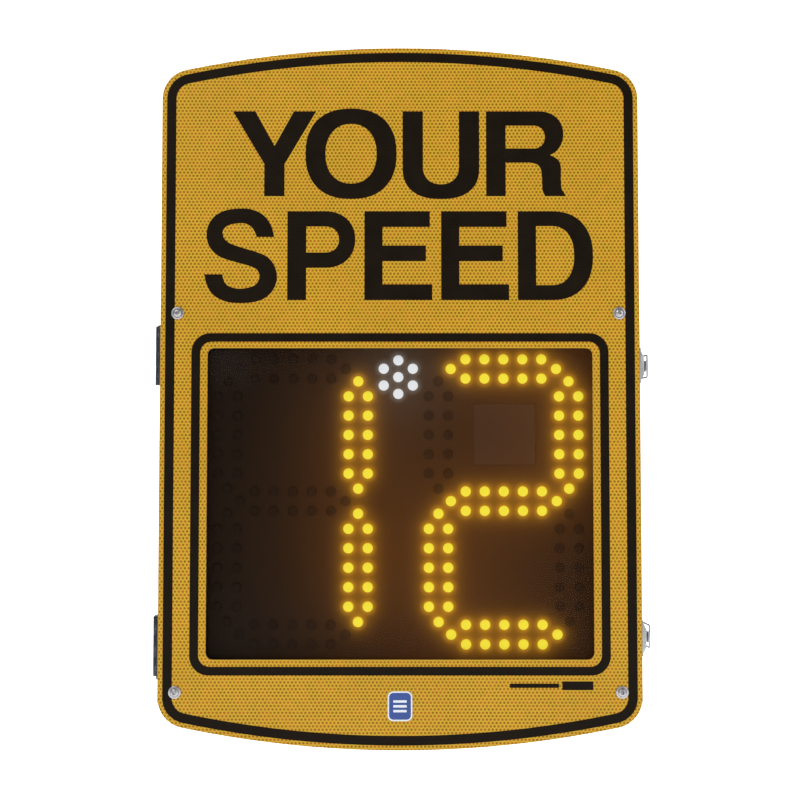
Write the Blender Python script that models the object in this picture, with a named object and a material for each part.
"""Pole-mounted radar speed display sign, as separate named pieces.

Metres, +Z up. The sign faces -Y. The origin is the middle of the flat rear face of the pole rail, level
with the middle of the box. The door swings on two hinges on the left (-X) side; two draw latches hold it on
the right.
"""

from math import asin, cos, pi, radians, sin, sqrt

import bmesh
import bpy
from mathutils import Matrix, Vector

# Clearance that touching pieces keep.
GAP = 0.0003

# Overall sizes.
PANEL_WIDTH = 0.610
BOX_HEIGHT = 0.514

# Face panel: straight sides, arched top and bottom. It stands above and hangs below the box.
PANEL_ABOVE_BOX = 0.3245
PANEL_BELOW_BOX = 0.0545
PANEL_ARC_RADIUS = 1.350
PANEL_CORNER = 0.038
PANEL_THICK = 0.003

# Box: a housing at the back and a door tray in front of it. The door just shows past the panel's sides.
DOOR_PROUD = 0.001
BOX_CORNER = 0.006
HOUSING_INSET = 0.002
DOOR_DEPTH = 0.028
SHEET = 0.002
FLANGE = 0.014
SEAL_GAP = 0.004
GASKET_WIDTH = 0.008
GASKET_EDGE = 0.003
GASKET_TAPER = 0.001

# Window opening in the panel, a little below the middle of the box.
WINDOW_SIDE_MARGIN = 0.06025
WINDOW_END_MARGIN = 0.0604
WINDOW_DROP = 0.002
WINDOW_CORNER = 0.0085
DOOR_OPENING_MARGIN = 0.005

# Window stack behind the door's front sheet.
LENS_THICK = 0.004
LENS_OVERLAP = 0.015
RETAINER_THICK = 0.003
RETAINER_WIDTH = 0.014
MASK_SETBACK = 0.0035
MASK_THICK = 0.0015
BOARD_SETBACK = 0.0035
BOARD_THICK = 0.0016

# Display: two digit boards with a strobe board between them.
DISPLAY_X = -0.0022
BOARD_PAST_WINDOW = 0.00125
BOARD_GAP = 0.0009
BOARD_END_GAP = 0.002
STROBE_BOARD_WIDTH = 0.0510
STROBE_BOARD_HEIGHT = 0.062
STROBE_BELOW_WINDOW_TOP = 0.0378
DRIVER_SIZE = (0.160, 0.090)
DRIVER_STANDOFF = 0.0044
DRIVER_PEG_INSET = 0.010
PEG_RADIUS = 0.003

# Radar module, behind a square window in the mask, in the upper loop of the right digit.
RADAR_SIDE = 0.079
RADAR_DEPTH = 0.0125
RADAR_Z = 0.085
RADAR_BOARD_MARGIN = 0.0025
BRACKET_THICK = 0.0015
BRACKET_FOOT = 0.010
BRACKET_HEIGHT = 0.024

# Face screws.
SCREW_SHIFT = -0.002
SCREW_SIDE_INSET = 0.0237
SCREW_END_INSET = 0.0178
SCREW_FLANGE_RADIUS = 0.008
SCREW_HEAD_RADIUS = 0.0056
SCREW_HEAD_HEIGHT = 0.0042
SCREW_FLANGE_THICK = 0.0012
SCREW_SHANK_RADIUS = 0.003
SCREW_SOCKET_FLATS = 0.004
SCREW_SOCKET_DEPTH = 0.0025
SCREW_LENGTH = 0.014
HOLE_CLEARANCE = 0.0003

# Panel stiffeners above the box.
STIFFENER_SIDE_INSET = 0.125
STIFFENER_TOP_INSET = 0.0545
STIFFENER_WIDTH = 0.030
STIFFENER_DEPTH = 0.012
STIFFENER_WALL = 0.002

# Hinges on the left side.
HINGE_END_INSET = 0.070
HINGE_LENGTH = 0.076
HINGE_BARREL_RADIUS = 0.0058
HINGE_BARREL_GAP = 0.0004
HINGE_PIN_RADIUS = 0.0025
HINGE_LEAF_THICK = 0.0025
HINGE_LEAF_WIDTH = 0.024
HINGE_END_KNUCKLE = 0.024
HINGE_PIN_HEAD_RADIUS = 0.0042
HINGE_PIN_HEAD = 0.0015

# Draw latches on the right side. Distances "out" are from the door's side wall, distances "back" from the
# middle of the seal gap.
LATCH_END_INSET = 0.084
LATCH_PIVOT_OUT = 0.0055
LATCH_PIVOT_BACK = 0.026
LATCH_PIN_RADIUS = 0.0015
BAIL_PIVOT_OUT = 0.0070
BAIL_PIVOT_BACK = 0.034
BAIL_WIRE_RADIUS = 0.00125
BAIL_SIDE_GAP = 0.0005
LEVER_HEIGHT = 0.025
LEVER_WALL = 0.002
LEVER_WEB_OUT = 0.0085
LEVER_WEB_THICK = 0.0015
LEVER_EYE_RADIUS = 0.0042
LEVER_WALL_GAP = 0.0012
LEVER_WEB_START = 0.036
LEVER_END_BACK = 0.068
LEVER_TIP_LENGTH = 0.010
LEVER_TIP_RISE = 0.0035
LATCH_BASE_THICK = 0.0015
LATCH_BASE_HEIGHT = 0.034
LATCH_BASE_FRONT = 0.008
EAR_THICK = 0.002
EAR_RADIUS = 0.0027
KEEPER_HEIGHT = 0.045
KEEPER_PLATE_THICK = 0.002
KEEPER_FRONT = 0.026
KEEPER_BACK = 0.004
KEEPER_DOME_OUT = 0.0066
KEEPER_HOOK_OUT = 0.0115
KEEPER_HOOK_HEIGHT = 0.014
KEEPER_LIP_THICK = 0.0019
KEEPER_LIP_LENGTH = 0.008
KEEPER_HOOK_ROOT = 0.004
BAIL_BAR_FRONT = 0.012

# Pole rail on the back, a hat section with slots for the mounting bands.
RAIL_DEPTH = 0.030
RAIL_WIDTH = 0.044
RAIL_FOOT = 0.018
RAIL_END_INSET = 0.037
RAIL_WALL = 0.003
RAIL_SLOT_INSET = 0.070
RAIL_SLOT_LENGTH = 0.026
RAIL_SLOT_DEPTH = 0.008
RAIL_BOLT_INSET = 0.020
RAIL_BOLT_RADIUS = 0.004
RAIL_BOLT_HEAD_RADIUS = 0.0065
RAIL_BOLT_HEAD = 0.005
RAIL_BOLT_PAST_SHEET = 0.003

# Equipment inside the housing. Insets are from the plate's edges.
PLATE_EDGE_GAP = 0.036
PLATE_END_GAP = 0.037
PLATE_STANDOFF = 0.008
STANDOFF_RADIUS = 0.006
STANDOFF_EDGE = 0.020
BATTERY_SIZE = (0.181, 0.0765, 0.167)
BATTERY_INSET = 0.0595
BATTERY_BOTTOM_INSET = 0.012
BATTERY_FRONT_ROOM = 0.0115
BATTERY_STUD = 0.006
STRAP_WIDTH = 0.025
STRAP_THICK = 0.0012
STRAP_FOOT = 0.016
CONTROLLER_SIZE = (0.120, 0.030, 0.070)
CONTROLLER_EAR = 0.010
CONTROLLER_EAR_THICK = 0.003
CONTROLLER_INSET = (0.080, 0.075)
CONTROL_BOARD_SIZE = (0.160, 0.110)
CONTROL_BOARD_INSET = (0.060, 0.045)
CONTROL_BOARD_STANDOFF = 0.006
TERMINAL_SIZE = (0.120, 0.024, 0.020)
TERMINAL_ABOVE_CONTROLLER = 0.035
SWITCH_INSET = (0.080, 0.080)
SWITCH_BODY = (0.013, 0.024, 0.019)
SWITCH_BEZEL = 0.002
SWITCH_RIM = 0.0015
SWITCH_WELL = 0.009
SWITCH_STAND = 0.042
SWITCH_BRACKET_MARGIN = (0.007, 0.006)
SWITCH_BRACKET_FOOT = 0.012
ROCKER_TILT = radians(10)
ROCKER_AXIS_PROUD = 0.0020
ROCKER_END_GAP = 0.0022
ROCKER_FACE = 0.0035

# Fittings in a plate under the bottom wall. The plate laps the edge of the wall's cut-out.
GLAND_PLATE_LAP = 0.010
GLAND_PLATE_MARGIN = 0.018
GLAND_PLATE_HALF_DEPTH = 0.028
GLAND_X = 0.120
GLAND_RADIUS = 0.012
GLAND_BORE = 0.006
GLAND_NECK = 0.008
GLAND_LENGTH = 0.022
GLAND_NUT_THICK = 0.005
SOCKET_X = -0.120
SOCKET_RADIUS = 0.012
SOCKET_BORE = 0.0085
SOCKET_LENGTH = 0.018
VENT_X = 0.0
VENT_RADIUS = 0.007
FITTING_Y_FROM_BACK = 0.050

# Depths, from the rear face of the rail forward (-Y).
HOUSING_DEPTH = 2 * SHEET + PLATE_STANDOFF + BATTERY_SIZE[1] + BATTERY_FRONT_ROOM
HOUSING_BACK = -RAIL_DEPTH - GAP
HOUSING_MOUTH = HOUSING_BACK - HOUSING_DEPTH
DOOR_BACK = HOUSING_MOUTH - SEAL_GAP
DOOR_FRONT = DOOR_BACK - DOOR_DEPTH
PANEL_BACK = DOOR_FRONT - GAP
PANEL_FRONT = PANEL_BACK - PANEL_THICK
SEAL_MIDDLE = (HOUSING_MOUTH + DOOR_BACK) / 2
LENS_FRONT = DOOR_FRONT + SHEET + GAP
LENS_BACK = LENS_FRONT + LENS_THICK
RETAINER_FRONT = LENS_BACK + GAP
RETAINER_BACK = RETAINER_FRONT + RETAINER_THICK
MASK_FRONT = RETAINER_BACK + MASK_SETBACK
MASK_BACK = MASK_FRONT + MASK_THICK
BOARD_FRONT = MASK_BACK + BOARD_SETBACK
BOARD_BACK = BOARD_FRONT + BOARD_THICK
HOUSING_INNER_BACK = HOUSING_BACK - SHEET
PLATE_BACK = HOUSING_INNER_BACK - PLATE_STANDOFF
PLATE_FRONT = PLATE_BACK - SHEET
EQUIPMENT_BACK = PLATE_FRONT - GAP

# Widths and heights that follow from the overall sizes.
DOOR_SIDE = PANEL_WIDTH / 2 + DOOR_PROUD
DOOR_TOP = BOX_HEIGHT / 2
PANEL_TOP = DOOR_TOP + PANEL_ABOVE_BOX
PANEL_BOTTOM = -DOOR_TOP - PANEL_BELOW_BOX
HOUSING_SIDE = DOOR_SIDE - HOUSING_INSET
HOUSING_TOP = DOOR_TOP - HOUSING_INSET
HOUSING_FLOOR = -HOUSING_TOP
WINDOW_SIDE = PANEL_WIDTH / 2 - WINDOW_SIDE_MARGIN
WINDOW_TOP = DOOR_TOP - WINDOW_END_MARGIN
DIGIT_BOARD_WIDTH = WINDOW_SIDE + BOARD_PAST_WINDOW - STROBE_BOARD_WIDTH / 2 - BOARD_GAP
DIGIT_BOARD_HEIGHT = 2 * (WINDOW_TOP - BOARD_END_GAP)
DIGIT_OFFSET = (STROBE_BOARD_WIDTH + DIGIT_BOARD_WIDTH) / 2 + BOARD_GAP
STROBE_Z = WINDOW_TOP - STROBE_BELOW_WINDOW_TOP
RADAR_X = DISPLAY_X + DIGIT_OFFSET
SCREW_X = PANEL_WIDTH / 2 - SCREW_SIDE_INSET
SCREW_Z = DOOR_TOP - SCREW_END_INSET
STIFFENER_X = PANEL_WIDTH / 2 - STIFFENER_SIDE_INSET
STIFFENER_LENGTH = PANEL_ABOVE_BOX - STIFFENER_TOP_INSET
HINGE_Z = DOOR_TOP - HINGE_END_INSET
HINGE_AXIS_X = -DOOR_SIDE - HINGE_BARREL_RADIUS - HINGE_BARREL_GAP
LATCH_Z = DOOR_TOP - LATCH_END_INSET
FITTING_Y = HOUSING_BACK - FITTING_Y_FROM_BACK
GLAND_PLATE_HALF_WIDTH = GLAND_X + GLAND_RADIUS + GLAND_PLATE_MARGIN
BAIL_HEIGHT = LEVER_HEIGHT + 2 * BAIL_SIDE_GAP + 4 * BAIL_WIRE_RADIUS
RAIL_LENGTH = BOX_HEIGHT - 2 * RAIL_END_INSET
RAIL_SLOT_Z = RAIL_LENGTH / 2 - RAIL_SLOT_INSET
RAIL_BOLT_Z = RAIL_LENGTH / 2 - RAIL_BOLT_INSET
PLATE_WIDTH = 2 * (DOOR_SIDE - PLATE_EDGE_GAP)
PLATE_HEIGHT = 2 * (DOOR_TOP - PLATE_END_GAP)
BATTERY_X = -PLATE_WIDTH / 2 + BATTERY_INSET + BATTERY_SIZE[0] / 2
CONTROLLER_X = PLATE_WIDTH / 2 - CONTROLLER_INSET[0] - CONTROLLER_SIZE[0] / 2
CONTROLLER_Z = -PLATE_HEIGHT / 2 + CONTROLLER_INSET[1] + CONTROLLER_SIZE[2] / 2
CONTROL_BOARD_X = PLATE_WIDTH / 2 - CONTROL_BOARD_INSET[0] - CONTROL_BOARD_SIZE[0] / 2
CONTROL_BOARD_Z = PLATE_HEIGHT / 2 - CONTROL_BOARD_INSET[1] - CONTROL_BOARD_SIZE[1] / 2
SWITCH_X = -PLATE_WIDTH / 2 + SWITCH_INSET[0]
SWITCH_Z = PLATE_HEIGHT / 2 - SWITCH_INSET[1]

ROUND_STEPS = 24
SMALL_STEPS = 16
CORNER_STEPS = 4
ARC_STEPS = 20


# Materials

def material(name, colour, roughness, metallic=0.0):
    """A plain Principled material."""
    made = bpy.data.materials.new(name)
    made.use_nodes = True
    shader = made.node_tree.nodes["Principled BSDF"]
    shader.inputs["Base Color"].default_value = (*colour, 1.0)
    shader.inputs["Roughness"].default_value = roughness
    shader.inputs["Metallic"].default_value = metallic
    made.diffuse_color = (*colour, 1.0)
    return made


def make_materials():
    return {
        "sheeting": material("sheeting", (0.53, 0.29, 0.02), 0.45),
        "housing": material("housing", (0.42, 0.43, 0.44), 0.45, 0.6),
        "lens": material("lens", (0.012, 0.009, 0.007), 0.12),
        "mask": material("mask", (0.015, 0.012, 0.010), 0.65),
        "board": material("board", (0.01, 0.06, 0.03), 0.5),
        "black_plastic": material("black_plastic", (0.02, 0.02, 0.02), 0.5),
        "rubber": material("rubber", (0.015, 0.015, 0.016), 0.8),
        "hinge": material("hinge", (0.06, 0.07, 0.08), 0.4, 0.7),
        "zinc": material("zinc", (0.55, 0.56, 0.58), 0.3, 1.0),
        "aluminium": material("aluminium", (0.62, 0.63, 0.65), 0.4, 1.0),
        "battery": material("battery", (0.03, 0.05, 0.14), 0.4),
        "white_plastic": material("white_plastic", (0.65, 0.65, 0.62), 0.45),
        "red_plastic": material("red_plastic", (0.5, 0.02, 0.015), 0.35),
    }


# Outlines, as lists of (x, z)

def arc(centre, radius, start, end, steps):
    """Points along an arc, both ends included; angles from +X toward +Z."""
    turns = [start + (end - start) * i / steps for i in range(steps + 1)]
    return [(centre[0] + radius * cos(t), centre[1] + radius * sin(t)) for t in turns]


def rounded_rectangle(half_width, half_height, radius, steps=CORNER_STEPS):
    """Anticlockwise outline seen from the front, starting at the right side's top corner."""
    x = half_width - radius
    z = half_height - radius
    corners = ((x, z, 0.0), (-x, z, pi / 2), (-x, -z, pi), (x, -z, 3 * pi / 2))
    points = []
    for corner_x, corner_z, start in corners:
        points += arc((corner_x, corner_z), radius, start, start + pi / 2, steps)
    return points


def arched_top(half_width, apex, arc_radius, corner):
    """The arched edge and its two rounded corners, from the right side to the left."""
    arc_centre = apex - arc_radius
    corner_x = half_width - corner
    corner_z = arc_centre + sqrt((arc_radius - corner) ** 2 - corner_x ** 2)
    lean = asin(corner_x / (arc_radius - corner))
    right = arc((corner_x, corner_z), corner, 0.0, pi / 2 - lean, 2 * CORNER_STEPS)
    top = arc((0.0, arc_centre), arc_radius, pi / 2 - lean, pi / 2 + lean, ARC_STEPS)
    left = arc((-corner_x, corner_z), corner, pi / 2 + lean, pi, 2 * CORNER_STEPS)
    return right + top[1:-1] + left


def panel_outline():
    """Outline of the face panel, anticlockwise seen from the front."""
    top = arched_top(PANEL_WIDTH / 2, PANEL_TOP, PANEL_ARC_RADIUS, PANEL_CORNER)
    bottom = arched_top(PANEL_WIDTH / 2, -PANEL_BOTTOM, PANEL_ARC_RADIUS, PANEL_CORNER)
    return top + [(-x, -z) for x, z in bottom]


# Solids

def add_object(name, mesh_builder, made_of, parent=None):
    """Wraps a bmesh into a named object and gives it one material."""
    bmesh.ops.remove_doubles(mesh_builder, verts=mesh_builder.verts, dist=1e-6)
    bmesh.ops.recalc_face_normals(mesh_builder, faces=mesh_builder.faces)
    mesh = bpy.data.meshes.new(name)
    mesh_builder.to_mesh(mesh)
    mesh_builder.free()
    mesh.shade_smooth()
    mesh.set_sharp_from_angle(angle=radians(30))
    made = bpy.data.objects.new(name, mesh)
    made.data.materials.append(made_of)
    bpy.context.scene.collection.objects.link(made)
    if parent:
        attach(made, parent)
    return made


def attach(child, parent):
    """Parents an object and leaves it where it is."""
    bpy.context.view_layer.update()
    child.parent = parent
    child.matrix_parent_inverse = parent.matrix_world.inverted()


def skin(rings, closed):
    """A bmesh from rings of equal length, joined in turn: round to the first ring, or capped at both ends."""
    builder = bmesh.new()
    rows = [[builder.verts.new(point) for point in ring] for ring in rings]
    pairs = list(zip(rows, rows[1:]))
    if closed:
        pairs.append((rows[-1], rows[0]))
    for first, second in pairs:
        for i in range(len(first)):
            j = (i + 1) % len(first)
            builder.faces.new((first[i], first[j], second[j], second[i]))
    if not closed:
        builder.faces.new(rows[0])
        builder.faces.new(rows[-1])
    return builder


def plate(name, outline, front, back, made_of, parent=None):
    """A flat piece with an outline in the XZ plane, from front to back along Y."""
    rings = [[(x, y, z) for x, z in outline] for y in (front, back)]
    return add_object(name, skin(rings, closed=False), made_of, parent)


def extrusion(name, outline, start, end, made_of, parent=None):
    """A prism with an outline in the XY plane, from start to end along Z."""
    rings = [[(x, y, z) for x, y in outline] for z in (start, end)]
    return add_object(name, skin(rings, closed=False), made_of, parent)


def ring_frame(name, half_width, half_height, corner, section, made_of, closed=True, parent=None):
    """A section of (inset, y) points swept round a rounded rectangle."""
    rings = []
    for inset, y in section:
        radius = max(corner - inset, 0.001)
        outline = rounded_rectangle(half_width - inset, half_height - inset, radius)
        rings.append([(x, y, z) for x, z in outline])
    return add_object(name, skin(rings, closed), made_of, parent)


def block(name, centre, size, made_of, parent=None):
    """A box by its centre and size."""
    builder = bmesh.new()
    place = Matrix.LocRotScale(Vector(centre), None, Vector(size))
    bmesh.ops.create_cube(builder, size=1.0, matrix=place)
    return add_object(name, builder, made_of, parent)


def turned(name, profile, base, axis, made_of, parent=None, steps=ROUND_STEPS, hollow=False):
    """A round piece from (radius, height) points along an axis through base. It has flat ends, or the points
    of a hollow piece go round its wall."""
    turn = Vector((0, 0, 1)).rotation_difference(Vector(axis)).to_matrix()
    rings = []
    for radius, height in profile:
        ring = arc((0.0, 0.0), radius, 0.0, 2 * pi * (1 - 1 / steps), steps - 1)
        rings.append([Vector(base) + turn @ Vector((x, y, height)) for x, y in ring])
    return add_object(name, skin(rings, closed=hollow), made_of, parent)


def combine(target, other, operation):
    """A live Boolean; the other object stays as a hidden helper."""
    modifier = target.modifiers.new(f"{operation.lower()}_{other.name}"[:60], "BOOLEAN")
    modifier.operation = operation
    modifier.object = other
    modifier.solver = "EXACT"
    other.hide_render = True
    other.display_type = "WIRE"
    if other.parent is None:
        attach(other, target)


def cut(target, other):
    combine(target, other, "DIFFERENCE")


def join(target, other):
    combine(target, other, "UNION")


def round_hole(target, name, radius, start, end, axis, steps=SMALL_STEPS):
    """Cuts a round hole along an axis, from start to end distances from the axis's origin point."""
    depth = (Vector(end) - Vector(start)).length
    cutter = turned(name, [(radius, 0.0), (radius, depth)], start, axis, None, steps=steps)
    cut(target, cutter)


# Door pieces

def make_panel(materials, door):
    panel = plate("face_panel", panel_outline(), PANEL_FRONT, PANEL_BACK, materials["sheeting"], door)
    opening = [(x, z - WINDOW_DROP) for x, z in rounded_rectangle(WINDOW_SIDE, WINDOW_TOP, WINDOW_CORNER)]
    cutter = plate("window_cutter", opening, PANEL_FRONT - GAP, PANEL_BACK + GAP, None)
    cut(panel, cutter)
    for x, z, name in screw_places():
        start = (x, PANEL_FRONT - GAP, z)
        end = (x, PANEL_BACK + GAP, z)
        radius = SCREW_SHANK_RADIUS + HOLE_CLEARANCE
        round_hole(panel, f"panel_hole_{name}", radius, start, end, (0, 1, 0))
    return panel


def screw_places():
    """Places and names of the four face screws."""
    return [
        (SCREW_SHIFT + side * SCREW_X, level * SCREW_Z, f"{row}_{column}")
        for level, row in ((1, "upper"), (-1, "lower"))
        for side, column in ((-1, "left"), (1, "right"))
    ]


def make_face_screw(materials, door, x, z, name):
    """Flanged button-head screw with a hex socket; its axis runs back (+Y)."""
    seat = PANEL_FRONT - GAP
    head = SCREW_HEAD_HEIGHT
    profile = [
        (SCREW_SHANK_RADIUS, -SCREW_LENGTH),
        (SCREW_SHANK_RADIUS, 0.0),
        (SCREW_FLANGE_RADIUS, 0.0),
        (SCREW_FLANGE_RADIUS, SCREW_FLANGE_THICK),
        (SCREW_HEAD_RADIUS, SCREW_FLANGE_THICK + GAP),
        (SCREW_HEAD_RADIUS * 0.85, head * 0.82),
        (SCREW_HEAD_RADIUS * 0.55, head),
    ]
    screw = turned(f"face_screw_{name}", profile, (x, seat, z), (0, -1, 0), materials["zinc"], door)
    socket_radius = SCREW_SOCKET_FLATS / sqrt(3)
    floor = (x, seat - head + SCREW_SOCKET_DEPTH, z)
    mouth = (x, seat - head - GAP, z)
    round_hole(screw, f"socket_{name}", socket_radius, floor, mouth, (0, -1, 0), steps=6)


def make_door_frame(materials, door):
    """Sheet-metal tray with a window opening in front and a return flange at the back."""
    opening = DOOR_SIDE - WINDOW_SIDE - DOOR_OPENING_MARGIN
    section = [
        (0.0, DOOR_FRONT),
        (0.0, DOOR_BACK),
        (FLANGE, DOOR_BACK),
        (FLANGE, DOOR_BACK - SHEET),
        (SHEET, DOOR_BACK - SHEET),
        (SHEET, DOOR_FRONT + SHEET),
        (opening, DOOR_FRONT + SHEET),
        (opening, DOOR_FRONT),
    ]
    coated = materials["housing"]
    frame = ring_frame("door_frame", DOOR_SIDE, DOOR_TOP, BOX_CORNER, section, coated, parent=door)
    for x, z, name in screw_places():
        start = (x, DOOR_FRONT - GAP, z)
        end = (x, DOOR_FRONT + SHEET + GAP, z)
        radius = SCREW_SHANK_RADIUS + HOLE_CLEARANCE
        round_hole(frame, f"door_hole_{name}", radius, start, end, (0, 1, 0))


def make_stiffener(materials, door, side, name):
    """Hat-shaped strip that holds the panel's upper part; it stands just above the door."""
    x = side * STIFFENER_X
    half = STIFFENER_WIDTH / 2
    front = PANEL_BACK + GAP
    back = front + STIFFENER_DEPTH
    wall = STIFFENER_WALL
    outline = [
        (x - half, front),
        (x - half / 2, front),
        (x - half / 2, back - wall),
        (x + half / 2, back - wall),
        (x + half / 2, front),
        (x + half, front),
        (x + half, front + wall),
        (x + half / 2 + wall, front + wall),
        (x + half / 2 + wall, back),
        (x - half / 2 - wall, back),
        (x - half / 2 - wall, front + wall),
        (x - half, front + wall),
    ]
    bottom = DOOR_TOP + GAP
    top = bottom + STIFFENER_LENGTH
    extrusion(f"panel_stiffener_{name}", outline, bottom, top, materials["aluminium"], door)


def make_window_stack(materials, door):
    """Lens, its retainer and the display mask behind them."""
    half_width = WINDOW_SIDE + LENS_OVERLAP
    half_height = WINDOW_TOP + LENS_OVERLAP
    outline = rounded_rectangle(half_width, half_height, WINDOW_CORNER)
    plate("window_lens", outline, LENS_FRONT, LENS_BACK, materials["lens"], door)
    section = [
        (0.0, LENS_FRONT),
        (0.0, RETAINER_BACK),
        (RETAINER_WIDTH, RETAINER_BACK),
        (RETAINER_WIDTH, RETAINER_FRONT),
        (RETAINER_THICK, RETAINER_FRONT),
        (RETAINER_THICK, LENS_FRONT),
    ]
    rim = RETAINER_THICK + GAP
    ring_frame(
        "lens_retainer", half_width + rim, half_height + rim, WINDOW_CORNER, section,
        materials["black_plastic"],
        parent=door,
    )
    mask_section = [
        (MASK_THICK, MASK_FRONT),
        (MASK_THICK, RETAINER_BACK + GAP),
        (0.0, RETAINER_BACK + GAP),
        (0.0, MASK_BACK),
    ]
    mask = ring_frame(
        "display_mask", half_width, half_height, WINDOW_CORNER, mask_section, materials["mask"], closed=False,
        parent=door,
    )
    side = RADAR_SIDE
    centre = (RADAR_X, (MASK_FRONT + MASK_BACK) / 2, RADAR_Z)
    cut(mask, block("radar_window_cutter", centre, (side, 2 * MASK_THICK, side), None))


def make_boards(materials, door):
    """LED boards, driver board and the radar module in its cut-out."""
    middle = (BOARD_FRONT + BOARD_BACK) / 2
    for side, name in ((-1, "left"), (1, "right")):
        centre = (DISPLAY_X + side * DIGIT_OFFSET, middle, 0.0)
        size = (DIGIT_BOARD_WIDTH, BOARD_THICK, DIGIT_BOARD_HEIGHT)
        board = block(f"led_board_{name}", centre, size, materials["board"], door)
    hole = RADAR_SIDE + 2 * RADAR_BOARD_MARGIN
    cutter = block("radar_board_cutter", (RADAR_X, middle, RADAR_Z), (hole, 3 * BOARD_THICK, hole), None)
    cut(board, cutter)
    size = (STROBE_BOARD_WIDTH, BOARD_THICK, STROBE_BOARD_HEIGHT)
    block("strobe_board", (DISPLAY_X, middle, STROBE_Z), size, materials["board"], door)

    radar_front = MASK_FRONT + GAP
    side = RADAR_SIDE - 2 * GAP
    centre = (RADAR_X, radar_front + RADAR_DEPTH / 2, RADAR_Z)
    block("radar_module", centre, (side, RADAR_DEPTH, side), materials["white_plastic"], door)
    make_radar_bracket(materials, door, radar_front + RADAR_DEPTH + GAP)

    width, height = DRIVER_SIZE
    centre_x = DISPLAY_X - DIGIT_OFFSET
    front = BOARD_BACK + DRIVER_STANDOFF
    centre = (centre_x, front + BOARD_THICK / 2, 0.0)
    driver = block("display_driver_board", centre, (width, BOARD_THICK, height), materials["board"], door)
    for side in (-1, 1):
        for level in (-1, 1):
            x = centre_x + side * (width / 2 - DRIVER_PEG_INSET)
            z = level * (height / 2 - DRIVER_PEG_INSET)
            foot = (x, BOARD_BACK + GAP, z)
            add_peg(driver, f"driver_peg_{side:+d}_{level:+d}", foot, DRIVER_STANDOFF, (0, 1, 0))


def add_peg(target, name, place, length, axis):
    """Joins a small round standoff to a board."""
    join(target, turned(name, [(PEG_RADIUS, 0.0), (PEG_RADIUS, length)], place, axis, None, steps=8))


def make_radar_bracket(materials, door, front):
    """Strip across the back of the radar module, with feet on the LED board."""
    thick = BRACKET_THICK
    reach = RADAR_SIDE / 2 + RADAR_BOARD_MARGIN + BRACKET_THICK
    foot = BRACKET_FOOT
    board = BOARD_BACK + GAP
    back = front + thick
    outline = [
        (-reach - foot, board),
        (-reach + thick, board),
        (-reach + thick, front),
        (reach - thick, front),
        (reach - thick, board),
        (reach + foot, board),
        (reach + foot, board + thick),
        (reach, board + thick),
        (reach, back),
        (-reach, back),
        (-reach, board + thick),
        (-reach - foot, board + thick),
    ]
    outline = [(RADAR_X + x, y) for x, y in outline]
    half = BRACKET_HEIGHT / 2
    extrusion("radar_bracket", outline, RADAR_Z - half, RADAR_Z + half, materials["aluminium"], door)


def make_gasket(materials, door):
    """Rubber strip between the door's flange and the housing's flange."""
    front = DOOR_BACK + GAP
    back = HOUSING_MOUTH - GAP
    start = HOUSING_INSET + GASKET_EDGE
    section = [
        (start, front),
        (start + GASKET_TAPER, back),
        (start + GASKET_WIDTH - GASKET_TAPER, back),
        (start + GASKET_WIDTH, front),
    ]
    ring_frame("door_gasket", DOOR_SIDE, DOOR_TOP, BOX_CORNER, section, materials["rubber"], parent=door)


# Hinges

def make_hinge(materials, door, level, name):
    """Butt hinge: the fixed leaf has the two end knuckles, the moving leaf the middle one."""
    centre = level * HINGE_Z
    bottom = centre - HINGE_LENGTH / 2
    top = centre + HINGE_LENGTH / 2
    inner_low = bottom + HINGE_END_KNUCKLE
    inner_high = top - HINGE_END_KNUCKLE
    fixed_spans = ((bottom, inner_low - GAP), (inner_high + GAP, top))
    make_leaf(f"hinge_fixed_leaf_{name}", materials, None, -HOUSING_SIDE, 1, (bottom, top), fixed_spans)
    moving_spans = ((inner_low, inner_high),)
    make_leaf(f"hinge_moving_leaf_{name}", materials, door, -DOOR_SIDE, -1, (bottom, top), moving_spans)
    profile = [
        (HINGE_PIN_HEAD_RADIUS, -HINGE_PIN_HEAD - GAP),
        (HINGE_PIN_HEAD_RADIUS, -GAP),
        (HINGE_PIN_RADIUS, -GAP),
        (HINGE_PIN_RADIUS, HINGE_LENGTH - HINGE_PIN_RADIUS / 2),
        (HINGE_PIN_RADIUS / 2, HINGE_LENGTH),
    ]
    turned(f"hinge_pin_{name}", profile, (HINGE_AXIS_X, SEAL_MIDDLE, top), (0, 0, -1), materials["zinc"])


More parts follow.
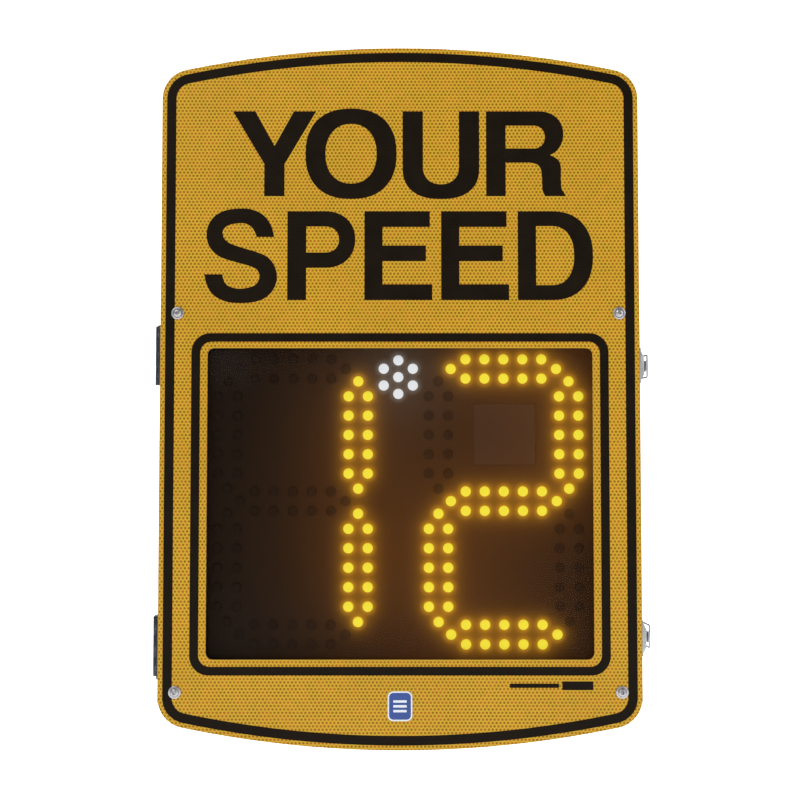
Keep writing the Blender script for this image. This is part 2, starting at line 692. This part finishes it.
def make_leaf(name, materials, parent, wall, direction, span, knuckles):
    """A leaf on a side wall; direction is +1 for a leaf that runs back and -1 for one that runs forward."""
    outer = wall - GAP - HINGE_LEAF_THICK
    inner = wall - GAP
    seal_edge = SEAL_MIDDLE + direction * (SEAL_GAP / 2 + GAP)
    far_edge = SEAL_MIDDLE + direction * HINGE_LEAF_WIDTH
    bottom, top = span
    centre = ((outer + inner) / 2, (seal_edge + far_edge) / 2, (bottom + top) / 2)
    size = (HINGE_LEAF_THICK, abs(far_edge - seal_edge), top - bottom)
    leaf = block(name, centre, size, materials["hinge"], parent)
    clearance = [(HINGE_BARREL_RADIUS + GAP, 0.0), (HINGE_BARREL_RADIUS + GAP, top - bottom + 2 * GAP)]
    place = (HINGE_AXIS_X, SEAL_MIDDLE, bottom - GAP)
    cut(leaf, turned(f"{name}_clearance", clearance, place, (0, 0, 1), None))
    # Each knuckle joins its leaf by a short neck along its own side of the seal gap.
    for index, (low, high) in enumerate(knuckles):
        neck_outline = [
            (HINGE_AXIS_X - HINGE_BARREL_RADIUS * 0.5, SEAL_MIDDLE),
            (HINGE_AXIS_X - HINGE_BARREL_RADIUS * 0.5, SEAL_MIDDLE + direction * HINGE_BARREL_RADIUS * 0.8),
            (outer + HINGE_LEAF_THICK * 0.5, SEAL_MIDDLE + direction * HINGE_BARREL_RADIUS * 1.5),
            (outer + HINGE_LEAF_THICK * 0.5, SEAL_MIDDLE + direction * (SEAL_GAP / 2 + GAP)),
            (HINGE_AXIS_X, SEAL_MIDDLE),
        ]
        join(leaf, extrusion(f"{name}_neck_{index}", neck_outline, low, high, None))
        barrel = [(HINGE_BARREL_RADIUS, 0.0), (HINGE_BARREL_RADIUS, high - low)]
        place = (HINGE_AXIS_X, SEAL_MIDDLE, low)
        join(leaf, turned(f"{name}_knuckle_{index}", barrel, place, (0, 0, 1), None))
    start = (HINGE_AXIS_X, SEAL_MIDDLE, bottom - GAP)
    end = (HINGE_AXIS_X, SEAL_MIDDLE, top + GAP)
    round_hole(leaf, f"{name}_bore", HINGE_PIN_RADIUS + GAP, start, end, (0, 0, 1))


# Latches

def latch_point(out, back):
    """(x, y) of a point of a latch."""
    return DOOR_SIDE + out, SEAL_MIDDLE + back


def make_latch(materials, door, level, name):
    """Draw latch: base, lever and wire bail on the housing, keeper on the door."""
    centre = level * LATCH_Z
    make_latch_base(materials, centre, name)
    lever_point = latch_point(LATCH_PIVOT_OUT, LATCH_PIVOT_BACK)
    lever_axis = pivot_empty(f"{name}_lever_axis", *lever_point, centre, None)
    make_lever(materials, lever_axis, centre, name)
    bail_point = latch_point(BAIL_PIVOT_OUT, BAIL_PIVOT_BACK)
    bail_axis = pivot_empty(f"{name}_bail_axis", *bail_point, centre, lever_axis)
    make_bail(materials, bail_axis, centre, name)
    make_keeper(materials, door, centre, name)
    half = LEVER_HEIGHT / 2
    x, y = latch_point(LATCH_PIVOT_OUT, LATCH_PIVOT_BACK)
    profile = [(LATCH_PIN_RADIUS, -half), (LATCH_PIN_RADIUS, half)]
    turned(f"latch_pin_{name}", profile, (x, y, centre), (0, 0, 1), materials["zinc"], steps=SMALL_STEPS)


def pivot_empty(name, x, y, z, parent):
    """An empty on a vertical joint axis."""
    empty = bpy.data.objects.new(name, None)
    empty.location = (x, y, z)
    bpy.context.scene.collection.objects.link(empty)
    if parent:
        attach(empty, parent)
    return empty


def make_latch_base(materials, centre, name):
    """Plate on the housing's side with two ears that carry the lever pin."""
    inner = HOUSING_SIDE + GAP
    outer = inner + LATCH_BASE_THICK
    x, y = latch_point(LATCH_PIVOT_OUT, LATCH_PIVOT_BACK)
    front = SEAL_MIDDLE + LATCH_BASE_FRONT
    back = SEAL_MIDDLE + LEVER_END_BACK - LATCH_BASE_FRONT
    size = (LATCH_BASE_THICK, back - front, LATCH_BASE_HEIGHT)
    middle_point = ((inner + outer) / 2, (front + back) / 2, centre)
    base = block(f"latch_base_{name}", middle_point, size, materials["zinc"])
    ear_face = LEVER_HEIGHT / 2 - LEVER_WALL - GAP - EAR_THICK / 2
    root = inner + LATCH_BASE_THICK / 2
    for side in (-1, 1):
        crown = arc((x, y), EAR_RADIUS, -pi / 2, pi / 2, 8)
        outline = crown + [(root, y + EAR_RADIUS), (root, y - EAR_RADIUS)]
        middle = centre + side * ear_face
        half = EAR_THICK / 2
        ear = extrusion(f"ear_{name}_{side:+d}", outline, middle - half, middle + half, None)
        join(base, ear)
    reach = LEVER_HEIGHT / 2
    round_hole(
        base, f"ear_bore_{name}", LATCH_PIN_RADIUS + GAP, (x, y, centre - reach), (x, y, centre + reach),
        (0, 0, 1),
    )


def make_lever(materials, axis, centre, name):
    """Channel-shaped lever: two cheeks with pivot holes, a web between them and a turned-up finger tip."""
    pivot_x, pivot_y = latch_point(LATCH_PIVOT_OUT, LATCH_PIVOT_BACK)
    inner_x = HOUSING_SIDE + GAP + LATCH_BASE_THICK + LEVER_WALL_GAP
    web_x, end_y = latch_point(LEVER_WEB_OUT, LEVER_END_BACK)
    outer_x = web_x + LEVER_WEB_THICK
    eye = arc((pivot_x, pivot_y), LEVER_EYE_RADIUS, -pi, 0.0, 8)
    cheek_end = end_y - LEVER_TIP_LENGTH
    tip_x = outer_x + LEVER_TIP_RISE
    cheek_corner = cheek_end - LEVER_TIP_LENGTH / 2
    outline = eye + [
        (outer_x, pivot_y + LEVER_EYE_RADIUS),
        (outer_x, cheek_end),
        (tip_x, end_y - LEVER_WEB_THICK),
        (tip_x - LEVER_WEB_THICK, end_y),
        (outer_x - LEVER_WEB_THICK, cheek_end + LEVER_WEB_THICK),
        (inner_x, cheek_corner),
    ]
    half = LEVER_HEIGHT / 2
    lever = extrusion(f"latch_lever_{name}", outline, centre - half, centre + half, materials["zinc"], axis)
    web_start = SEAL_MIDDLE + LEVER_WEB_START
    hollow_height = LEVER_HEIGHT - 2 * LEVER_WALL
    low_x = inner_x - LEVER_EYE_RADIUS
    front_y = pivot_y - 2 * LEVER_EYE_RADIUS
    cut_between(lever, f"lever_hollow_{name}", (low_x, web_x), (front_y, cheek_corner), centre, hollow_height)
    past_x = outer_x + LEVER_WEB_THICK
    slot_height = hollow_height - GAP
    cut_between(lever, f"lever_slot_{name}", (low_x, past_x), (front_y, web_start), centre, slot_height)
    for hole, radius, (x, y) in (
        ("pin", LATCH_PIN_RADIUS + GAP, (pivot_x, pivot_y)),
        ("bail", BAIL_WIRE_RADIUS + GAP, latch_point(BAIL_PIVOT_OUT, BAIL_PIVOT_BACK)),
    ):
        start = (x, y, centre - half - GAP)
        end = (x, y, centre + half + GAP)
        round_hole(lever, f"lever_{hole}_hole_{name}", radius, start, end, (0, 0, 1), steps=SMALL_STEPS)


def cut_between(target, name, x_span, y_span, z, height):
    """Cuts a box that spans x_span and y_span, centred on z."""
    centre = (sum(x_span) / 2, sum(y_span) / 2, z)
    size = (x_span[1] - x_span[0], y_span[1] - y_span[0], height)
    cut(target, block(name, centre, size, None))


def bail_path(centre):
    """Corner points of the bail's wire, from one in-turned end round to the other."""
    pivot_x, pivot_y = latch_point(BAIL_PIVOT_OUT, BAIL_PIVOT_BACK)
    leg = BAIL_HEIGHT / 2 - BAIL_WIRE_RADIUS
    tail = LEVER_HEIGHT / 2 - LEVER_WALL - GAP
    bar_x, bar_y = latch_point(KEEPER_HOOK_OUT + GAP + BAIL_WIRE_RADIUS, -BAIL_BAR_FRONT)
    return [
        Vector((pivot_x, pivot_y, centre - tail)),
        Vector((pivot_x, pivot_y, centre - leg)),
        Vector((bar_x, bar_y, centre - leg)),
        Vector((bar_x, bar_y, centre + leg)),
        Vector((pivot_x, pivot_y, centre + leg)),
        Vector((pivot_x, pivot_y, centre + tail)),
    ]


def rounded_path(corners, radius, steps):
    """The path through the corner points, with each inner corner rounded by a quadratic curve."""
    points = [corners[0]]
    for before, corner, after in zip(corners, corners[1:], corners[2:]):
        start = corner + (before - corner).normalized() * radius
        end = corner + (after - corner).normalized() * radius
        for i in range(steps + 1):
            t = i / steps
            points.append(start * (1 - t) ** 2 + corner * 2 * t * (1 - t) + end * t ** 2)
    points.append(corners[-1])
    return points


def make_bail(materials, axis, centre, name):
    """Wire loop that swings on the lever; it rests just outside the keeper's lip."""
    points = rounded_path(bail_path(centre), 1.6 * BAIL_WIRE_RADIUS, 2)
    rings = []
    for i, point in enumerate(points):
        before = points[max(i - 1, 0)]
        after = points[min(i + 1, len(points) - 1)]
        along = (after - before).normalized()
        side = along.cross(Vector((1.0, 0.2, 0.0))).normalized()
        up = along.cross(side)
        turns = [2 * pi * k / 8 for k in range(8)]
        rings.append([point + BAIL_WIRE_RADIUS * (side * cos(t) + up * sin(t)) for t in turns])
    add_object(f"latch_bail_{name}", skin(rings, closed=False), materials["zinc"], axis)


def make_keeper(materials, door, centre, name):
    """Keeper on the door's side: a raised plate with a hook that opens forward."""
    inner = DOOR_SIDE + GAP
    outer = inner + KEEPER_PLATE_THICK
    dome = DOOR_SIDE + KEEPER_DOME_OUT
    lip = DOOR_SIDE + KEEPER_HOOK_OUT
    half = KEEPER_HEIGHT / 2
    crown = half / 2
    front = SEAL_MIDDLE - KEEPER_FRONT
    back = SEAL_MIDDLE - KEEPER_BACK
    size = (KEEPER_PLATE_THICK, back - front, KEEPER_HEIGHT)
    middle = ((inner + outer) / 2, (front + back) / 2, centre)
    keeper = block(f"latch_keeper_{name}", middle, size, materials["zinc"], door)
    low = outer - KEEPER_PLATE_THICK / 2
    foot = half - KEEPER_PLATE_THICK / 2
    dome_outline = [(low, -foot), (low, foot), (dome, crown), (dome, -crown)]
    dome_ends = (front + KEEPER_PLATE_THICK, back - KEEPER_PLATE_THICK)
    rings = [[(x, y, centre + z) for x, z in dome_outline] for y in dome_ends]
    join(keeper, add_object(f"keeper_dome_{name}", skin(rings, closed=False), None))
    groove_back = SEAL_MIDDLE - BAIL_BAR_FRONT + BAIL_WIRE_RADIUS
    lip_front = groove_back - KEEPER_LIP_LENGTH
    hook_back = groove_back + KEEPER_HOOK_ROOT
    root = dome - KEEPER_PLATE_THICK / 2
    round_off = KEEPER_LIP_THICK / 2
    hook_outline = [
        (root, hook_back),
        (root, groove_back),
        (lip - KEEPER_LIP_THICK, groove_back),
        (lip - KEEPER_LIP_THICK, lip_front + round_off),
        (lip - round_off, lip_front),
        (lip, lip_front + round_off),
        (lip, hook_back - KEEPER_LIP_THICK),
        (lip - KEEPER_LIP_THICK, hook_back),
    ]
    half_hook = KEEPER_HOOK_HEIGHT / 2
    join(keeper, extrusion(f"keeper_hook_{name}", hook_outline, centre - half_hook, centre + half_hook, None))


# Housing pieces

def make_housing(materials):
    """Open-fronted box with a cut-out for the fittings' plate and holes for the rail bolts."""
    coat = materials["housing"]
    back_corner = (0.0, HOUSING_BACK)
    section = [(SHEET, HOUSING_INNER_BACK), (SHEET, HOUSING_MOUTH), (0.0, HOUSING_MOUTH), back_corner]
    shell = ring_frame("housing_shell", HOUSING_SIDE, HOUSING_TOP, BOX_CORNER, section, coat, closed=False)
    outer = SHEET + GAP
    flange_back = HOUSING_MOUTH + SHEET
    section = [(outer, HOUSING_MOUTH), (outer, flange_back), (FLANGE, flange_back), (FLANGE, HOUSING_MOUTH)]
    ring_frame("housing_flange", HOUSING_SIDE, HOUSING_TOP, BOX_CORNER, section, coat)
    way_out = (
        2 * (GLAND_PLATE_HALF_WIDTH - GLAND_PLATE_LAP),
        2 * (GLAND_PLATE_HALF_DEPTH - GLAND_PLATE_LAP),
        4 * SHEET,
    )
    cut(shell, block("fittings_way_out", (0.0, FITTING_Y, HOUSING_FLOOR), way_out, None))
    for x, z, name in rail_bolt_places():
        start = (x, HOUSING_INNER_BACK - GAP, z)
        end = (x, HOUSING_BACK + GAP, z)
        round_hole(shell, f"shell_bolt_hole_{name}", RAIL_BOLT_RADIUS + HOLE_CLEARANCE, start, end, (0, 1, 0))


def rail_bolt_places():
    """Places and names of the bolts that hold the rail's feet to the housing."""
    x = RAIL_WIDTH / 2 + RAIL_FOOT / 2
    return [
        (side * x, level * RAIL_BOLT_Z, f"{row}_{column}")
        for level, row in ((1, "upper"), (-1, "lower"))
        for side, column in ((-1, "left"), (1, "right"))
    ]


def make_rail(materials):
    """Hat section: flat web at the back, two legs with band slots and two feet on the housing."""
    half = RAIL_WIDTH / 2
    foot = half + RAIL_FOOT
    wall = RAIL_WALL
    front = -RAIL_DEPTH
    outline = [
        (-foot, front),
        (-half + wall, front),
        (-half + wall, -wall),
        (half - wall, -wall),
        (half - wall, front),
        (foot, front),
        (foot, front + wall),
        (half, front + wall),
        (half, 0.0),
        (-half, 0.0),
        (-half, front + wall),
        (-foot, front + wall),
    ]
    rail = extrusion("pole_rail", outline, -RAIL_LENGTH / 2, RAIL_LENGTH / 2, materials["aluminium"])
    slot_middle = front + RAIL_DEPTH / 2
    for level, name in ((1, "upper"), (-1, "lower")):
        centre = (0.0, slot_middle, level * RAIL_SLOT_Z)
        size = (RAIL_WIDTH + 2 * wall, RAIL_SLOT_DEPTH, RAIL_SLOT_LENGTH)
        cut(rail, block(f"band_slot_{name}", centre, size, None))
    for x, z, name in rail_bolt_places():
        start = (x, front - GAP, z)
        end = (x, front + wall + GAP, z)
        round_hole(rail, f"rail_bolt_hole_{name}", RAIL_BOLT_RADIUS + HOLE_CLEARANCE, start, end, (0, 1, 0))
        make_rail_bolt(materials, x, z, name)


def make_rail_bolt(materials, x, z, name):
    """Hexagon-head bolt through the rail's foot and the housing's back, with its head outside."""
    seat = -RAIL_DEPTH + RAIL_WALL + GAP
    length = RAIL_WALL + SHEET + 2 * GAP + RAIL_BOLT_PAST_SHEET
    bolt = turned(
        f"rail_bolt_{name}", [(RAIL_BOLT_RADIUS, -length), (RAIL_BOLT_RADIUS, RAIL_BOLT_HEAD / 2)],
        (x, seat, z),
        (0, 1, 0), materials["zinc"], steps=SMALL_STEPS,
    )
    head = turned(
        f"bolt_head_{name}", [(RAIL_BOLT_HEAD_RADIUS, 0.0), (RAIL_BOLT_HEAD_RADIUS, RAIL_BOLT_HEAD)],
        (x, seat, z),
        (0, 1, 0), None, steps=6,
    )
    join(bolt, head)


def make_equipment_plate(materials):
    """Plate on four standoffs that carries the battery and electronics."""
    outline = rounded_rectangle(PLATE_WIDTH / 2, PLATE_HEIGHT / 2, BOX_CORNER)
    plate("equipment_plate", outline, PLATE_FRONT, PLATE_BACK, materials["aluminium"])
    for level, row in ((1, "upper"), (-1, "lower")):
        for side, column in ((-1, "left"), (1, "right")):
            x = side * (PLATE_WIDTH / 2 - STANDOFF_EDGE)
            z = level * (PLATE_HEIGHT / 2 - STANDOFF_EDGE)
            profile = [(STANDOFF_RADIUS, GAP), (STANDOFF_RADIUS, PLATE_STANDOFF - GAP)]
            turned(
                f"standoff_{row}_{column}", profile, (x, PLATE_BACK, z), (0, 1, 0), materials["zinc"],
                steps=SMALL_STEPS,
            )


def make_battery(materials):
    """Battery with two terminals, standing low on the plate, and the strap round it."""
    width, depth, height = BATTERY_SIZE
    bottom = -PLATE_HEIGHT / 2 + BATTERY_BOTTOM_INSET
    back = EQUIPMENT_BACK
    centre = (BATTERY_X, back - depth / 2, bottom + height / 2)
    battery = block("battery", centre, BATTERY_SIZE, materials["battery"])
    profile = [(BATTERY_STUD, 0.0), (BATTERY_STUD, BATTERY_STUD)]
    for side in (-1, 1):
        x = BATTERY_X + side * (width / 2 - 3 * BATTERY_STUD)
        place = (x, back - depth / 2, bottom + height - GAP)
        join(battery, turned(f"battery_stud_{side:+d}", profile, place, (0, 0, 1), None, steps=8))
    half = width / 2 + GAP
    front = back - depth - GAP
    thick = STRAP_THICK
    outline = [
        (-half, back),
        (-half - STRAP_FOOT, back),
        (-half - STRAP_FOOT, back - thick),
        (-half - thick, back - thick),
        (-half - thick, front - thick),
        (half + thick, front - thick),
        (half + thick, back - thick),
        (half + STRAP_FOOT, back - thick),
        (half + STRAP_FOOT, back),
        (half, back),
        (half, front),
        (-half, front),
    ]
    outline = [(BATTERY_X + x, y) for x, y in outline]
    middle = bottom + height * 0.6
    half = STRAP_WIDTH / 2
    extrusion("battery_strap", outline, middle - half, middle + half, materials["aluminium"])


def make_electronics(materials):
    """Charge controller, control board and terminal block on the plate."""
    back = EQUIPMENT_BACK
    width, depth, height = CONTROLLER_SIZE
    centre = (CONTROLLER_X, back - depth / 2, CONTROLLER_Z)
    controller = block("charge_controller", centre, CONTROLLER_SIZE, materials["black_plastic"])
    ears = (width + 2 * CONTROLLER_EAR, CONTROLLER_EAR_THICK, height - 2 * CONTROLLER_EAR)
    join(controller, block("controller_ears", (CONTROLLER_X, back - ears[1] / 2, CONTROLLER_Z), ears, None))

    terminal_bottom = CONTROLLER_Z + height / 2 + TERMINAL_ABOVE_CONTROLLER
    centre = (CONTROLLER_X, back - TERMINAL_SIZE[1] / 2, terminal_bottom + TERMINAL_SIZE[2] / 2)
    block("terminal_block", centre, TERMINAL_SIZE, materials["white_plastic"])
    make_control_board(materials)


def make_control_board(materials):
    """Circuit board on four pegs, with a heat sink, a radio module and a row of connectors."""
    width, height = CONTROL_BOARD_SIZE
    board_back = EQUIPMENT_BACK - CONTROL_BOARD_STANDOFF
    centre = (CONTROL_BOARD_X, board_back - BOARD_THICK / 2, CONTROL_BOARD_Z)
    board = block("control_board", centre, (width, BOARD_THICK, height), materials["board"])
    parts = (
        ("heat_sink", (-0.045, 0.020), (0.040, 0.012, 0.040)),
        ("radio_module", (0.030, 0.025), (0.050, 0.010, 0.030)),
        ("connector_row", (0.010, -0.035), (0.110, 0.014, 0.014)),
    )
    for name, (x, z), size in parts:
        part_y = board_back - BOARD_THICK - size[1] / 2 + GAP
        join(board, block(name, (CONTROL_BOARD_X + x, part_y, CONTROL_BOARD_Z + z), size, None))
    for side in (-1, 1):
        for level in (-1, 1):
            x = CONTROL_BOARD_X + side * (width / 2 - 2 * PEG_RADIUS)
            z = CONTROL_BOARD_Z + level * (height / 2 - 2 * PEG_RADIUS)
            length = CONTROL_BOARD_STANDOFF + BOARD_THICK / 2
            add_peg(board, f"board_peg_{side:+d}_{level:+d}", (x, EQUIPMENT_BACK, z), length, (0, -1, 0))


def make_switch(materials):
    """Power switch: a U bracket on the plate, the switch body in its hole, and the rocker."""
    back = EQUIPMENT_BACK
    width, depth, height = SWITCH_BODY
    wall = BRACKET_THICK
    front = back - SWITCH_STAND
    half = width / 2 + SWITCH_BRACKET_MARGIN[0]
    half_height = height / 2 + SWITCH_BRACKET_MARGIN[1]
    outline = [
        (-half, front),
        (half, front),
        (half, back - wall),
        (half + SWITCH_BRACKET_FOOT, back - wall),
        (half + SWITCH_BRACKET_FOOT, back),
        (half - wall, back),
        (half - wall, front + wall),
        (-half + wall, front + wall),
        (-half + wall, back),
        (-half - SWITCH_BRACKET_FOOT, back),
        (-half - SWITCH_BRACKET_FOOT, back - wall),
        (-half, back - wall),
    ]
    outline = [(SWITCH_X + x, y) for x, y in outline]
    low, high = SWITCH_Z - half_height, SWITCH_Z + half_height
    bracket = extrusion("switch_bracket", outline, low, high, materials["aluminium"])
    hole = (width + 2 * GAP, 4 * wall, height + 2 * GAP)
    cut(bracket, block("switch_hole", (SWITCH_X, front + wall / 2, SWITCH_Z), hole, None))

    bezel_front = front - GAP - SWITCH_BEZEL
    bezel = (width + 2 * SWITCH_BEZEL, SWITCH_BEZEL, height + 2 * SWITCH_BEZEL)
    centre = (SWITCH_X, bezel_front + SWITCH_BEZEL / 2, SWITCH_Z)
    body = block("power_switch_body", centre, bezel, materials["black_plastic"])
    core = (width, depth - SWITCH_BEZEL / 2, height)
    centre = (SWITCH_X, bezel_front + SWITCH_BEZEL / 2 + core[1] / 2, SWITCH_Z)
    join(body, block("switch_core", centre, core, None))
    well = (width - 2 * SWITCH_RIM, SWITCH_WELL, height - 2 * SWITCH_RIM / 1.5)
    cut(body, block("switch_well", (SWITCH_X, bezel_front - GAP + SWITCH_WELL / 2, SWITCH_Z), well, None))
    make_rocker(materials, bezel_front + ROCKER_AXIS_PROUD, well[0] - 4 * GAP, height / 2 - ROCKER_END_GAP)


def make_rocker(materials, axis_y, width, half):
    """Rocker tilted to its lower stop; it turns about X on an axis level with the bezel."""
    face = ROCKER_FACE
    outline = [
        (-half, -face * 0.4),
        (-half + face * 0.2, -face),
        (0.0, -face * 0.55),
        (half - face * 0.2, -face),
        (half, -face * 0.4),
        (half * 0.45, face * 0.9),
        (-half * 0.45, face * 0.9),
    ]
    turn = Matrix.Rotation(-ROCKER_TILT, 3, "X")
    centre = Vector((SWITCH_X, axis_y, SWITCH_Z))
    rings = [
        [centre + Vector((x, 0, 0)) + turn @ Vector((0, y, z)) for z, y in outline]
        for x in (-width / 2, width / 2)
    ]
    axis = pivot_empty("switch_axis", *centre, None)
    add_object("power_switch_rocker", skin(rings, closed=False), materials["red_plastic"], axis)


def make_gland_plate(materials):
    """Plate fixed under the bottom wall, with a hole for each fitting."""
    size = (2 * GLAND_PLATE_HALF_WIDTH, 2 * GLAND_PLATE_HALF_DEPTH, SHEET)
    centre = (0.0, FITTING_Y, HOUSING_FLOOR - GAP - SHEET / 2)
    made = block("gland_plate", centre, size, materials["housing"])
    for name, x, radius in (
        ("gland", GLAND_X, GLAND_NECK),
        ("socket", SOCKET_X, SOCKET_RADIUS * 0.8),
        ("vent", VENT_X, VENT_RADIUS * 0.6),
    ):
        start = (x, FITTING_Y, HOUSING_FLOOR - 2 * SHEET)
        end = (x, FITTING_Y, HOUSING_FLOOR)
        round_hole(made, f"{name}_hole", radius + HOLE_CLEARANCE, start, end, (0, 0, 1))


def make_bottom_fittings(materials):
    """Cable gland with its nut, solar inlet socket and breather vent in the gland plate."""
    y = FITTING_Y
    outside = HOUSING_FLOOR - 2 * GAP - SHEET
    inside = HOUSING_FLOOR
    gland = [
        (GLAND_BORE, -GLAND_LENGTH),
        (GLAND_RADIUS * 0.80, -GLAND_LENGTH),
        (GLAND_RADIUS * 0.92, -GLAND_LENGTH * 0.8),
        (GLAND_RADIUS * 0.92, -GLAND_LENGTH * 0.27),
        (GLAND_RADIUS, -GLAND_LENGTH * 0.23),
        (GLAND_RADIUS, 0.0),
        (GLAND_NECK, 0.0),
        (GLAND_NECK, SHEET + 2 * GLAND_NUT_THICK),
        (GLAND_BORE, SHEET + 2 * GLAND_NUT_THICK),
    ]
    turned("cable_gland", gland, (GLAND_X, y, outside), (0, 0, 1), materials["black_plastic"], hollow=True)
    nut = [
        (GLAND_NECK + GAP, 0.0),
        (GLAND_RADIUS, 0.0),
        (GLAND_RADIUS, GLAND_NUT_THICK),
        (GLAND_NECK + GAP, GLAND_NUT_THICK),
    ]
    turned("gland_nut", nut, (GLAND_X, y, inside), (0, 0, 1), materials["black_plastic"], hollow=True)
    barrel = SOCKET_RADIUS * 0.9
    flange = SOCKET_RADIUS * 1.15
    flange_thick = SOCKET_LENGTH / 6
    socket = [
        (SOCKET_BORE * 0.6, -flange_thick * 1.3),
        (SOCKET_BORE, -flange_thick * 1.3),
        (SOCKET_BORE, -SOCKET_LENGTH),
        (barrel, -SOCKET_LENGTH),
        (barrel, -flange_thick),
        (flange, -flange_thick),
        (flange, 0.0),
        (SOCKET_RADIUS * 0.8, 0.0),
        (SOCKET_RADIUS * 0.8, SOCKET_RADIUS),
        (SOCKET_BORE * 0.6, SOCKET_RADIUS),
    ]
    turned("solar_inlet_socket", socket, (SOCKET_X, y, outside), (0, 0, 1), materials["black_plastic"])
    vent = [
        (VENT_RADIUS * 0.6, SHEET + VENT_RADIUS * 0.8),
        (VENT_RADIUS * 0.6, 0.0),
        (VENT_RADIUS, 0.0),
        (VENT_RADIUS, -VENT_RADIUS * 0.55),
        (VENT_RADIUS * 0.8, -VENT_RADIUS * 0.7),
    ]
    place = (VENT_X, y, outside)
    turned("breather_vent", vent, place, (0, 0, 1), materials["black_plastic"], steps=SMALL_STEPS)


def main():
    for old in list(bpy.data.objects):
        bpy.data.objects.remove(old)
    materials = make_materials()
    door = pivot_empty("door_axis", HINGE_AXIS_X, SEAL_MIDDLE, 0.0, None)

    make_panel(materials, door)
    for x, z, name in screw_places():
        make_face_screw(materials, door, x, z, name)
    make_door_frame(materials, door)
    for side, name in ((-1, "left"), (1, "right")):
        make_stiffener(materials, door, side, name)
    make_window_stack(materials, door)
    make_boards(materials, door)
    make_gasket(materials, door)
    for level, name in ((1, "upper"), (-1, "lower")):
        make_hinge(materials, door, level, name)
        make_latch(materials, door, level, name)

    make_housing(materials)
    make_rail(materials)
    make_equipment_plate(materials)
    make_battery(materials)
    make_electronics(materials)
    make_switch(materials)
    make_gland_plate(materials)
    make_bottom_fittings(materials)


main()
